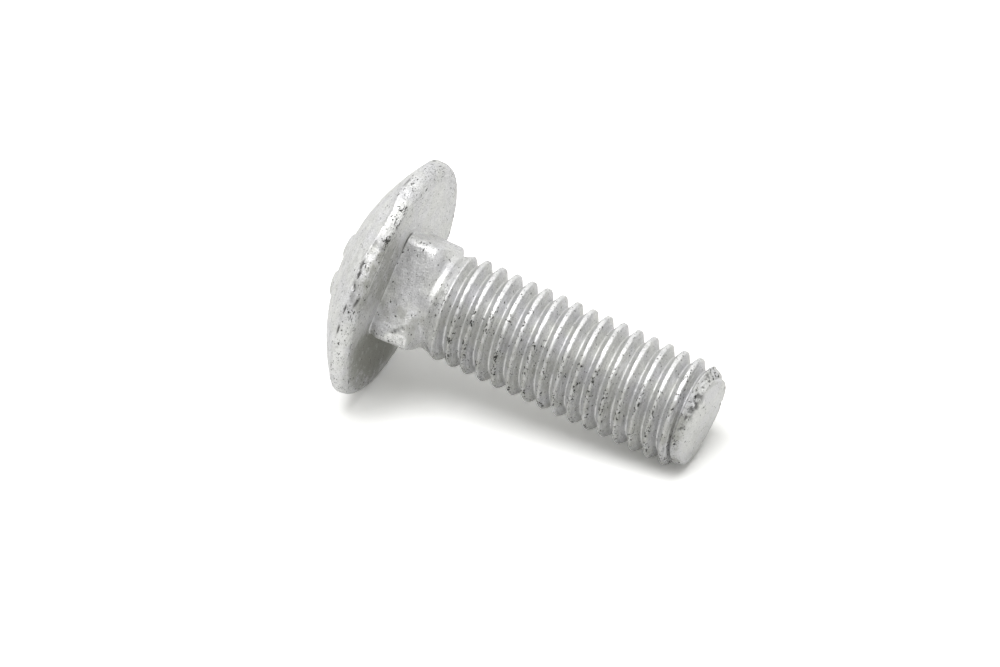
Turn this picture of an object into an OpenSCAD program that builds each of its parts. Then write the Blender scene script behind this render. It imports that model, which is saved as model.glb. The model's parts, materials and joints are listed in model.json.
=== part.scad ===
// Carriage bolt: a domed head, a square neck under it, and a coarse right-hand thread.
// It was forged and rolled from one bar and dipped in zinc, so it is one solid.
// Lengths are millimetres. The bolt is drawn along +Z from the underside of its head,
// with the dome below zero, and is then laid down on its rim and its thread.

/* [Head] */
// Diameter over the rim
head_d = 22.2; // [19:0.1:26]
// Height from the underside to the top of the dome
head_h = 5.3; // [4:0.05:7]
// Height of the rim, from the underside to the edge of the dome
rim_h = 1.45; // [1.2:0.05:2.2]
// Radius of the rim's round lower edge
rim_round = 0.95; // [0.4:0.05:1.1]

/* [Raised marks] */
// Height of the two plain bars above the dome
mark_h = 0.32; // [0.2:0.02:0.6]
// Width of a bar
mark_w = 2.3; // [1:0.1:3]
// Length of a bar, over its round ends
mark_l = 6; // [4:0.1:8]
// Clear space between the bars
mark_gap = 1.25; // [0.6:0.05:2]
// How far the pair sits off the bolt's axis
mark_shift = 0.7; // [0:0.1:1.5]
// Direction in which the bars run, counted round the axis from the underside of the lying bolt
mark_turn = 48.5; // [0:0.5:180]

/* [Neck] */
// Width of the square, across its flats
neck_w = 9.5; // [9.2:0.05:10.4]
// Width of the square, across its rounded corners
neck_corner_d = 12.6; // [11.4:0.1:13]
// Depth of the full square, from the underside of the head
neck_h = 3; // [1.5:0.1:8]
// Length over which the square tapers into the shoulder
neck_taper = 0.7; // [0.5:0.05:2]
// Direction in which a flat faces, counted as for the marks
neck_turn = 55.5; // [0:0.5:90]

/* [Thread] */
// Length of the shank, from the underside of the head to the tip
shank_l = 29.9; // [24:0.05:80]
// Diameter of the plain shoulder between neck and thread
shoulder_d = 8.9; // [8.4:0.05:9.2]
// Length of the plain shoulder
shoulder_l = 0.6; // [0.4:0.1:20]
// Diameter over the thread's crests
crest_d = 9.8; // [9.5:0.05:10]
// Diameter at the thread's roots
root_d = 7.96; // [7.7:0.02:8.2]
// Advance of the thread in one turn
pitch = 1.5; // [1.4:0.05:1.75]
// Width of the flat at a root
root_w = 0.22; // [0.15:0.01:0.3]
// Angle between a groove's two walls
thread_angle = 60; // [55:1:60]
// Turns over which the groove gains its full depth
run_in = 0.8; // [0.3:0.1:1.5]
// Direction in which the groove begins, counted as for the marks
thread_turn = 190; // [0:1:359]

/* [Tip] */
// Length of the chamfer at the end of the thread
tip_l = 1.6; // [0.8:0.05:2]
// Diameter of the flat end face
tip_d = 8.2; // [8.1:0.05:9.2]

/* [Hidden] */
$fn = 96;

// Turns of the groove are cut with this many flat steps each
STEPS_PER_TURN = 36;
// How far solids reach into each other where they join
LAP = 0.4;
// How far the groove's cutter stands proud of the crests
CUTTER_PROUD = 0.1;

zinc = [0.66, 0.67, 0.66];

crest_r = crest_d / 2;
root_r = root_d / 2;
shoulder_r = shoulder_d / 2;
tip_r = tip_d / 2;
head_r = head_d / 2;
flat_r = head_r - rim_round;
dome_rise = head_h - rim_h;
dome_r = (pow(head_r, 2) + pow(dome_rise, 2)) / (2 * dome_rise);
dome_z = dome_r - head_h;

thread_z = neck_h + neck_taper + shoulder_l;
chamfer_z = shank_l - tip_l;
cutter_r = crest_r + CUTTER_PROUD;
wall_slope = tan(thread_angle / 2);

// Half the width of the groove at a radius, where its root lies at another
function half_width(at_r, floor_r) = root_w / 2 + (at_r - floor_r) * wall_slope;

crest_w = pitch - 2 * half_width(crest_r, root_r);

// The last piece of crest on the underside, where the lying bolt touches down
first_crest_z = thread_z + pitch / 2 - pitch * thread_turn / 360 - crest_w / 2;
last_crest_z = first_crest_z + pitch * floor((chamfer_z - first_crest_z) / pitch);
touch_z = min(chamfer_z, last_crest_z + crest_w);

// The bolt rests on the round of its rim and on that piece of crest
rest_run = touch_z + rim_round;
rest_drop = flat_r - crest_r;
rest_slope = atan2(rest_drop, rest_run) + asin(rim_round / norm([rest_run, rest_drop]));
rest_z = flat_r * cos(rest_slope) - rim_round * sin(rest_slope) + rim_round;
head_end_x = dome_z * cos(rest_slope) - dome_r - mark_h;
tip_end_x = shank_l * cos(rest_slope) + tip_r * sin(rest_slope);

module head() {
    color(zinc)
    rotate_extrude() {
        intersection() {
            translate([0, dome_z]) circle(dome_r);
            translate([0, -head_h]) square([head_r, head_h - rim_round]);
        }
        translate([0, -rim_h]) square([flat_r, rim_h]);
        translate([flat_r, -rim_round]) circle(rim_round);
    }
}

module mark_outline() {
    straight = mark_l - mark_w;
    square([straight, mark_w], center = true);
    for (end = [-1, 1]) translate([end * straight / 2, 0]) circle(d = mark_w);
}

module marks() {
    color(zinc)
    intersection() {
        translate([0, 0, dome_z]) sphere(dome_r + mark_h);
        rotate([0, 0, mark_turn])
        for (side = [-1, 1])
            translate([0, side * (mark_gap + mark_w) / 2 - mark_shift, -head_h - mark_h])
            linear_extrude(head_h - rim_h + mark_h) mark_outline();
    }
}

module neck() {
    corner_r = neck_corner_d / 2;
    color(zinc)
    rotate([0, 0, neck_turn])
    intersection() {
        translate([-neck_w / 2, -neck_w / 2, -LAP]) cube([neck_w, neck_w, thread_z + LAP]);
        rotate_extrude() polygon([
            [0, -LAP],
            [corner_r, -LAP],
            [corner_r, neck_h],
            [shoulder_r, neck_h + neck_taper],
            [0, neck_h + neck_taper]
        ]);
    }
}

module shank() {
    color(zinc)
    rotate_extrude() polygon([
        [0, -LAP],
        [shoulder_r, -LAP],
        [shoulder_r, thread_z],
        [crest_r, thread_z + run_in * pitch],
        [crest_r, chamfer_z],
        [tip_r, shank_l],
        [0, shank_l]
    ]);
}

// Four corners of the groove's cutter at one step of its helix
function cutter_ring(step) =
    let (
        turns = step / STEPS_PER_TURN,
        angle = thread_turn + 360 * turns,
        z = thread_z + pitch * turns,
        depth = min(1, 0.02 + turns / run_in),
        floor_r = cutter_r - depth * (cutter_r - root_r),
        outer = half_width(cutter_r, floor_r)
    )
    [for (corner = [[floor_r, -root_w / 2], [floor_r, root_w / 2], [cutter_r, outer], [cutter_r, -outer]])
        [corner[0] * cos(angle), corner[0] * sin(angle), z + corner[1]]];

module thread_cutter() {
    steps = ceil((shank_l + pitch - thread_z) / pitch * STEPS_PER_TURN);
    points = [for (step = [0:steps]) each cutter_ring(step)];
    sides = [for (step = [0:steps - 1], side = [0:3])
        let (a = 4 * step + side, b = 4 * step + (side + 1) % 4)
        each [[a, b + 4, b], [a, a + 4, b + 4]]];
    polyhedron(points, concat([[0, 1, 2, 3]], sides, [[for (side = [3:-1:0]) 4 * steps + side]]));
}

module threaded_shank() {
    difference() {
        shank();
        color(zinc) thread_cutter();
    }
}

module carriage_bolt() {
    translate([-(head_end_x + tip_end_x) / 2, 0, rest_z])
    rotate([0, 90 + rest_slope, 0]) {
        head();
        marks();
        neck();
        threaded_shank();
    }
}

carriage_bolt();
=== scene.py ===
"""A hot-dip galvanised carriage bolt, lying on its side on a plain pale floor.

The bolt is one forging: a domed head with two plain raised bars, a square neck, a short round shoulder,
a rolled coarse thread and a sheared end. Sizes in the classes are millimetres in the bolt's own axes:
Z runs along the shank from the underside of the head to the tip, and polar angles are counted round Z
from the side that lies on the floor. The finished mesh is turned into place in metres.
"""

import json
import logging
import math
from dataclasses import dataclass, field
from enum import Enum
from typing import Iterable

import bmesh
import bpy
from mathutils import Matrix, Vector, noise


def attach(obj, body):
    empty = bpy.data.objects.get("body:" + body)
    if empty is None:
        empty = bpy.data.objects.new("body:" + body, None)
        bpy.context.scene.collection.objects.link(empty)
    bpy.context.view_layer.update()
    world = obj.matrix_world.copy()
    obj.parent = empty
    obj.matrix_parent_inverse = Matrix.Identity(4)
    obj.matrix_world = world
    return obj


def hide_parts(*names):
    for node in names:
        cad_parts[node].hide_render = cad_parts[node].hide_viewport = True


log = logging.getLogger("carriage_bolt")

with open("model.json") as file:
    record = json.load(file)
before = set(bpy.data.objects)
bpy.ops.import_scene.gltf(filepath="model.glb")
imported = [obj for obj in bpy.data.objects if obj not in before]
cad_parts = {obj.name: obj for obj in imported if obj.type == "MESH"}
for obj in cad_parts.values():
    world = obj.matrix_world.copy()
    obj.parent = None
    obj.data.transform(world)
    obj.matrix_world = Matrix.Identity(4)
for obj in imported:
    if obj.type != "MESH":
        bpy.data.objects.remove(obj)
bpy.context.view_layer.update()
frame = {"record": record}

MM = 0.001
BODY = "root"
NODE = "carriage_bolt"

SECTORS = 176
SECTOR = math.tau / SECTORS
WELD = 0.004

Fade = tuple[float, float, float, float]
"""Degrees at which a part of the bolt's round begins to rise, is full, begins to fall and has ended."""
Span = tuple[float, float]
"""Where something begins to rise and where it is full."""
Colour = tuple[float, float, float, float]
"""Red, green, blue and alpha."""
Outline = list[tuple[float, float]]
"""Radius and height of the points of an outline."""


def smooth_min(a: float, b: float, blend: float) -> float:
    """The lower of two heights, with a round of about the blend's size where they meet.

    Args:
        a: First height.
        b: Second height.
        blend: Difference of the heights below which the round begins.

    Returns:
        The blended height.
    """
    near = max(blend - abs(a - b), 0.0) / blend
    return min(a, b) - near * near * blend / 4


def smooth_max(a: float, b: float, blend: float) -> float:
    """The higher of two heights, blended as smooth_min does it."""
    return -smooth_min(-a, -b, blend)


def smooth_step(low: float, high: float, value: float) -> float:
    """Rises smoothly from 0 at low to 1 at high.

    Args:
        low: Value at which the rise begins.
        high: Value at which it ends, which may be below low.
        value: The value to place on the rise.

    Returns:
        A share from 0 to 1.
    """
    share = min(1.0, max(0.0, (value - low) / (high - low)))
    return share * share * (3 - 2 * share)


def between(angle: float, fade: Fade) -> float:
    """Share from 0 to 1 of a part of the bolt's round.

    Args:
        angle: Polar angle of a place.
        fade: Where the part begins and ends.

    Returns:
        The share of the part at the place.
    """
    degrees = math.degrees(angle) % 360
    return smooth_step(fade[0], fade[1], degrees) * smooth_step(fade[3], fade[2], degrees)


def facing(angle: float, degrees: float, low: float, high: float) -> float:
    """Share from 0 to 1 of a side of the bolt, by the cosine of the turn away from its middle.

    Args:
        angle: Polar angle of a place.
        degrees: Polar angle of the side's middle, in degrees.
        low: Cosine at which the side begins.
        high: Cosine from which it is full.

    Returns:
        The share of the side at the place.
    """
    return smooth_step(low, high, math.cos(angle - math.radians(degrees)))


def mix(a: float, b: float, share: float) -> float:
    """The value that lies the given share of the way from a to b."""
    return a + (b - a) * share


def polar(vert: bmesh.types.BMVert) -> tuple[float, float, float]:
    """Polar angle, radius and height of a vertex in the bolt's axes."""
    x, y, z = vert.co
    return math.atan2(y, x), math.hypot(x, y), z


def set_polar(vert: bmesh.types.BMVert, angle: float, radius: float, z: float) -> None:
    """Puts a vertex at a polar angle, radius and height."""
    vert.co = (radius * math.cos(angle), radius * math.sin(angle), z)


def toward(angle: float) -> Vector:
    """The direction across the bolt at a polar angle."""
    return Vector((math.cos(angle), math.sin(angle), 0.0))


def aimed(azimuth: float, elevation: float) -> Vector:
    """The direction in the world that an azimuth and an elevation give.

    Args:
        azimuth: Degrees round the vertical, from the front towards the tip's side.
        elevation: Degrees above the floor.

    Returns:
        The direction, one unit long.
    """
    turn, rise = math.radians(azimuth), math.radians(elevation)
    return Vector((math.sin(turn) * math.cos(rise), -math.cos(turn) * math.cos(rise), math.sin(rise)))


def chain(
    bm: bmesh.types.BMesh, points: Outline, degrees: float
) -> list[bmesh.types.BMVert | bmesh.types.BMEdge]:
    """Adds an open chain of vertices and edges in the half plane at a polar angle.

    Args:
        bm: The mesh that gets them.
        points: Radius and height of each vertex.
        degrees: The half plane's polar angle.

    Returns:
        The new vertices and edges, ready for a spin.
    """
    way = toward(math.radians(degrees))
    verts = [bm.verts.new(way * radius + Vector((0, 0, z))) for radius, z in points]
    edges = [bm.edges.new(pair) for pair in zip(verts, verts[1:])]
    return verts + edges


def arc(centre: tuple[float, float], radius: float, start: float, end: float, steps: int) -> Outline:
    """Points along an arc in the plane of radius and height, its first point left out.

    Args:
        centre: Radius and height of the arc's centre.
        radius: The arc's own radius.
        start: Angle of the arc's start in degrees, from the outward direction towards the tip.
        end: Angle of its end.
        steps: Number of points.

    Returns:
        Radius and height of each point.
    """
    turns = [math.radians(mix(start, end, step / steps)) for step in range(1, steps + 1)]
    return [(centre[0] + radius * math.cos(turn), centre[1] + radius * math.sin(turn)) for turn in turns]


class Mask(Enum):
    """The masks that the skin carries for its finishes, one value a vertex."""

    # Burnished zinc, and painted light: highlights on the crests, the roots and the rim's ridge, a lighter
    # upper underside and a reflection on the lower rim.
    BURNISH_AND_HIGHLIGHT = "crest"
    WORN = "worn"
    # Dark nicks, creases and torn edges, and painted shade in the gap at the neck's upper corner.
    NICK_AND_SHADE = "nick"
    # Soiled zinc, and painted shade on the underside, the neck's valley and lower front, and the thread's
    # lower side and roots.
    DIRT_AND_SHADE = "grime"
    LAY = "lay"


class Skin(Enum):
    """The three ways in which the bolt's surface was made before it was dipped."""

    FORGED = 0
    ROLLED = 1
    SHEARED = 2


def ripple(place: Vector, size: float, shift: float = 0.0) -> float:
    """Smooth random height from about -1 to 1.

    Args:
        place: The place in millimetres.
        size: Distance over which the height changes.
        shift: Moves the pattern, so that two of the same size differ.

    Returns:
        The height at the place.
    """
    return noise.noise(place / size + Vector((shift, shift * 1.7, -shift)))


@dataclass(frozen=True)
class Lay:
    """How the bolt lies: its origin and its axis in the world, in metres."""

    origin: Vector
    axis: Vector

    @classmethod
    def from_record(cls, record: dict, neck_h: float) -> "Lay":
        """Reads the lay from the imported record.

        Args:
            record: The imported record, whose square neck mount sits half-way along the neck.
            neck_h: Depth of the neck in millimetres.

        Returns:
            The lay.
        """
        neck = next(mount for mount in record["mounts"] if mount["name"] == "square_neck")
        axis = Vector(neck["axis"]).normalized()
        return cls(Vector(neck["pos_m"]) - axis * neck_h / 2 * MM, axis)

    def matrix(self) -> Matrix:
        """The turn and place that carry the bolt's own metres into the world.

        Returns:
            The matrix, for a mesh in metres.
        """
        down = Vector((self.axis.z, 0.0, -self.axis.x))
        turn = Matrix((down, Vector((0.0, 1.0, 0.0)), self.axis)).transposed()
        return Matrix.Translation(self.origin) @ turn.to_4x4()


@dataclass(frozen=True)
class Bars:
    """Two plain raised bars with round ends, side by side on the dome."""

    height: float = 0.34
    width: float = 2.3
    length: float = 6.0
    gap: float = 1.25
    shift: float = 0.7
    degrees: float = 48.5
    shoulder: float = 0.6

    def rise(self, angle: float, radius: float) -> float:
        """How far the dome is raised at a place.

        Args:
            angle: Polar angle of the place.
            radius: Its distance from the axis.

        Returns:
            The rise in millimetres.
        """
        turn = angle - math.radians(self.degrees)
        along, across = radius * math.cos(turn), radius * math.sin(turn)
        best = 0.0
        for side in (-1, 1):
            offset = across - (side * (self.gap + self.width) / 2 - self.shift)
            past_end = max(0.0, abs(along) - (self.length - self.width) / 2)
            inside = self.width / 2 - math.hypot(past_end, offset)
            best = max(best, smooth_step(-self.shoulder / 2, self.shoulder / 2, inside))
        return best * self.height


@dataclass(frozen=True)
class Nick:
    """A chip, a crack or a dent in the bolt's side: where it is, its size, its tilt and how dark it is."""

    degrees: float
    z: float
    length: float
    width: float
    depth: float
    tilt: float = 0.0
    shade: float = 1.0

    def share(self, angle: float, radius: float, z: float) -> float:
        """How deep a place lies in the nick.

        Args:
            angle: Polar angle of the place.
            radius: Its distance from the axis.
            z: Its height.

        Returns:
            The share of the nick's depth, from 0 to 1.
        """
        along = ((angle - math.radians(self.degrees) + math.pi) % math.tau - math.pi) * radius
        across = z - self.z - self.tilt * along
        return smooth_step(1.0, 0.3, math.hypot(along / self.length * 2, across / self.width * 2))


@dataclass(frozen=True)
class Crease:
    """A broken crease that runs round a part of the head, at a height or at a distance from the axis."""

    at: float
    width: float
    depth: float
    wander: float
    wave: float
    fade: Fade

    def share(self, angle: float, place: float) -> float:
        """How deep a place lies in the crease.

        Args:
            angle: Polar angle of the place.
            place: Its height or its radius, whichever the crease holds to.

        Returns:
            The share of the crease's depth, from 0 to 1.
        """
        run = toward(angle) * 11
        middle = self.at + self.wander * ripple(run, self.wave * 3, shift=8.0)
        broken = smooth_step(-0.15, 0.35, ripple(run, self.wave, shift=31.0))
        return smooth_step(1.0, 0.25, abs(place - middle) / self.width) * broken * between(angle, self.fade)


@dataclass(frozen=True)
class Zone:
    """A ring of the head's skin that sets in softly, by height and by distance from the axis."""

    heights: Span
    radii: Span

    def share(self, radius: float, z: float) -> float:
        """How much a place belongs to the zone, from 0 to 1."""
        return smooth_step(*self.heights, z) * smooth_step(*self.radii, radius)


@dataclass
class Head:
    """The domed head: dome, upright rim with a round lower edge, and flat underside.

    The rim is fuller and its upper edge sags where it was upset more (full, sag), it leans in beside that
    (tuck), and the underside ends in a broken lip with a fold. A wear of 0 is sound zinc, 1 is pitted.
    """

    diameter: float = 22.2
    height: float = 5.3
    rim_h: float = 1.45
    rim_round: float = 0.95
    rim_steps: tuple[float, ...] = (0.03, 0.1, 0.17, 0.24, 0.32, 0.41, 0.5)
    crown_r: float = 5.0
    dome_fillet: float = 0.08
    edge_break: tuple[float, float] = (0.035, 0.045)
    edge_rise: Span = (9.6, 10.9)
    edge_wander: float = 0.08
    edge_wave: float = 3.0
    lean: float = 0.013
    off_axis: float = 0.09
    lean_degrees: float = 138.5
    bars: Bars = field(default_factory=Bars)
    lip: float = 0.045
    lip_wave: float = 0.9
    lip_w: float = 0.2
    lip_h: float = 0.1
    sag: float = 0.34
    full: float = 0.58
    full_part: Fade = (186.0, 202.0, 214.0, 226.0)
    tuck: float = 0.26
    tuck_from: float = 0.45
    tuck_rise: Span = (9.8, 10.9)
    tuck_part: Fade = (214.0, 222.0, 238.0, 254.0)
    # The front of the head: soiled zinc on the rim, painted shade on the underside.
    front_part: Fade = (190.0, 218.0, 244.0, 266.0)
    # Middle of the painted shade on the lower part of the underside.
    dim_degrees: float = 325.0
    # Part of the underside that is painted lighter, as if more lit.
    lit_underside: Fade = (80.0, 115.0, 172.0, 194.0)
    # The lower rim, with fewer pits and a painted reflection.
    lower_rim: Fade = (244.0, 270.0, 335.0, 352.0)
    rim_zone: Zone = Zone((-1.6, -1.2), (9.4, 10.4))
    upset_zone: Zone = Zone((-1.35, -0.95), (10.3, 10.6))
    dirty_zone: Zone = Zone((-1.5, -1.3), (9.9, 10.4))
    sound_wear: float = 0.12
    under_wear: float = 0.6
    under_rise: Span = (8.8, 10.2)
    dirty_wear: float = 0.5
    edge_wear: float = 0.5
    rim_wear: float = 0.75
    lower_rim_wear: float = 0.7
    ridge_wear: float = 0.45
    upset_wear: float = 1.7
    marks_from: float = 9.8
    crease: Crease = Crease(-1.37, 0.15, 0.07, 0.07, 1.1, (208.0, 232.0, 262.0, 300.0))
    fold: Crease = Crease(10.27, 0.12, 0.06, 0.05, 0.7, (232.0, 258.0, 318.0, 350.0))
    fold_h: float = 0.12
    fold_shade: float = 0.9
    nicks: tuple[Nick, ...] = (
        Nick(181.5, -1.41, 1.9, 0.24, 0.07, -0.03, 0.8),
        Nick(219.0, -0.55, 0.40, 1.3, 0.06, 0.0, 0.7),
        Nick(234.0, -1.24, 1.1, 0.40, 0.14, -0.1),
        Nick(240.0, -1.20, 0.9, 0.40, 0.15, 0.5),
        Nick(243.5, -1.00, 3.6, 0.80, 0.05, 0.06, 0.36),
        Nick(246.5, -0.50, 1.5, 0.36, 0.13, -0.2),
        Nick(251.0, -1.30, 1.2, 0.24, 0.08),
        Nick(263.0, -1.34, 0.9, 0.22, 0.07, -0.1),
        Nick(150.0, -1.36, 1.2, 0.32, 0.07),
        Nick(30.0, -1.36, 1.3, 0.42, 0.10),
    )

    @property
    def radius(self) -> float:
        """Half the head's diameter."""
        return self.diameter / 2

    @property
    def dome_r(self) -> float:
        """Radius of the dome's sphere."""
        rise = self.height - self.rim_h
        return (self.radius**2 + rise**2) / (2 * rise)

    @property
    def flat_r(self) -> float:
        """Radius at which the underside's flat ends."""
        return self.radius - self.rim_round

    def dome_z(self, radius: float) -> float:
        """Height of the dome at a distance from the axis."""
        return self.dome_r - self.height - math.sqrt(self.dome_r**2 - radius**2)

    def profile(self) -> Outline:
        """The head's outline, from the crown to the end of the underside's round.

        Returns:
            Radius and height of its points.
        """
        crown_rings, dome_rings, round_rings = 38, 24, 11
        edge = self.radius - self.dome_fillet
        radii = [self.crown_r * ring / crown_rings for ring in range(crown_rings + 1)]
        radii += [mix(self.crown_r, edge, (ring / dome_rings) ** 0.85) for ring in range(1, dome_rings + 1)]
        points = [(radius, self.dome_z(radius)) for radius in radii]
        points += [(self.radius - self.edge_break[0], -self.rim_h - self.edge_break[1])]
        points += [(self.radius, -self.rim_h + up) for up in self.rim_steps]
        points += arc((self.flat_r, -self.rim_round), self.rim_round, 0, 90, round_rings)
        return points

    def fullness(self, angle: float) -> float:
        """How much smaller the rim's round is at a polar angle, where the rim was upset more."""
        return self.full * between(angle, self.full_part)

    def tucked(self, angle: float, radius: float, z: float) -> float:
        """How far the rim's edge leans in towards the dome, beside the upset part.

        Args:
            angle: Polar angle of the place.
            radius: Its distance from the axis.
            z: Its height.

        Returns:
            The way inwards in millimetres.
        """
        share = min(1.0, max(0.0, (-self.tuck_from - z) / (self.rim_h - self.tuck_from)))
        return self.tuck * share * between(angle, self.tuck_part) * smooth_step(*self.tuck_rise, radius)

    def sideways(self, angle: float, radius: float) -> float:
        """How far the off-axis head moves a place outwards."""
        return self.off_axis * math.cos(angle - math.radians(self.lean_degrees)) * radius / self.radius

    def shape(self, angle: float, radius: float, z: float) -> tuple[float, float]:
        """Moves a place of the plain head to where the bars, the lean and the forging marks put it.

        Args:
            angle: Polar angle of the place.
            radius: Its distance from the axis on the plain head.
            z: Its height on the plain head.

        Returns:
            The new radius and height.
        """
        outwards = self.sideways(angle, radius) - self.cut(angle, radius, z)[0]
        outwards -= self.tucked(angle, radius, z)
        full = self.fullness(angle)
        rim = toward(angle) * self.radius
        if z < -self.rim_round:
            above = smooth_step(-self.rim_round, -self.rim_h, z)
            z -= self.lean * radius * math.cos(angle - math.radians(self.lean_degrees)) * above
            z -= self.bars.rise(angle, radius)
            wave = self.edge_wander * ripple(rim, self.edge_wave, shift=4.0)
            wave += self.sag * between(angle, self.full_part)
            z += wave * smooth_step(*self.edge_rise, radius) * above
            z += full * (1 - above)
            return radius + outwards, z
        outwards += full * (1 - (radius - self.flat_r) / self.rim_round)
        plain_z = z
        z += full * (1 - (z + self.rim_round) / self.rim_round)
        if radius < self.flat_r + self.lip_w and plain_z > -self.lip_h:
            z += self.lip * smooth_step(-0.3, 0.4, ripple(rim, self.lip_wave, shift=12.0))
            z -= self.fold.depth * self.fold.share(angle, radius)
        return radius + outwards, z

    def cut(self, angle: float, radius: float, z: float) -> tuple[float, float]:
        """How the crease, the fold and the nicks mark a place of the plain head.

        Args:
            angle: Polar angle of the place.
            radius: Its distance from the axis.
            z: Its height.

        Returns:
            How deep the rim is cut there, and how dark the mark is, from 0 to 1.
        """
        if radius < self.marks_from:
            return 0.0, 0.0
        if z > -self.fold_h:
            return 0.0, self.fold_shade * self.fold.share(angle, radius)
        crease = self.crease.share(angle, z)
        shares = [(nick.share(angle, radius, z), nick) for nick in self.nicks]
        depths = [share * nick.depth for share, nick in shares]
        shades = [share * nick.shade for share, nick in shares]
        return max(crease * self.crease.depth, *depths), max(crease, *shades)

    def worn(self, angle: float, radius: float, z: float) -> float:
        """How thin and pitted the zinc is at a place.

        Args:
            angle: Polar angle of the place.
            radius: Its distance from the axis.
            z: Its height.

        Returns:
            The wear, from 0 to about 1.
        """
        if z > -WELD:
            outer = mix(self.sound_wear, self.under_wear, smooth_step(*self.under_rise, radius))
            return max(outer, self.dirty_wear * between(angle, self.front_part))
        from_edge = math.hypot(radius - self.radius, z + self.rim_h)
        edge = self.edge_wear * smooth_step(0.3, 0.05, from_edge)
        lower_rim = mix(1.0, self.lower_rim_wear, between(angle, self.lower_rim))
        rim = self.rim_wear * self.rim_zone.share(radius, z) * lower_rim
        from_ridge = abs(radius - self.flat_r - 0.1)
        ridge = self.ridge_wear * smooth_step(0.5, 0.1, from_ridge) * smooth_step(-0.5, -0.2, z)
        upset = self.upset_wear * self.upset_zone.share(radius, z) * between(angle, self.full_part)
        return max(edge, rim, ridge, upset, self.sound_wear)

    def smooth(self, angle: float, radius: float, z: float) -> float:
        """Share of brighter, glossier zinc that is painted light: a lighter upper underside, a reflection on
        the lower rim and a highlight on the rim's lower ridge, all painted.

        Args:
            angle: Polar angle of the place.
            radius: Its distance from the axis.
            z: Its height.

        Returns:
            The share, from 0 to 1.
        """
        if z > -WELD:
            # Painted light: the upper underside inside the rim's round.
            return 0.25 * between(angle, self.lit_underside) * smooth_step(10.2, 9.6, radius)
        from_ridge = abs(radius - self.flat_r - 0.12)
        # Painted highlight on the rim's lower ridge.
        ridge = 0.6 * smooth_step(0.14, 0.04, from_ridge) * smooth_step(-0.2, -0.05, z)
        # Painted reflection on the lower rim.
        rim = 0.65 * between(angle, self.lower_rim) * smooth_step(-0.15, -0.5, z) * smooth_step(-1.5, -1.4, z)
        return max(ridge, rim)

    def grime(self, angle: float, radius: float, z: float) -> float:
        """How much darker colour a place gets: soiled zinc on the front of the rim, and painted shade on the
        front and lower part of the underside.

        Args:
            angle: Polar angle of the place.
            radius: Its distance from the axis.
            z: Its height.

        Returns:
            The darkening, from 0 to 1.
        """
        side = between(angle, self.front_part)
        if z > -WELD:
            outer = smooth_step(8.6, 10.1, radius)
            # Painted shade on the underside's lower part, strongest nearer the axis.
            lower = mix(1.0, 0.68, outer) * facing(angle, self.dim_degrees, 0.2, 0.85)
            # Painted shade on the underside's front, over a light base of soiled zinc.
            return max(mix(0.1, 0.75, side), lower)
        on_rim, on_round = 0.5, 0.75
        front_part = mix(on_rim, on_round, smooth_step(-self.rim_round, -0.3, z))
        return self.dirty_zone.share(radius, z) * mix(0.05, front_part, side)


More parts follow.
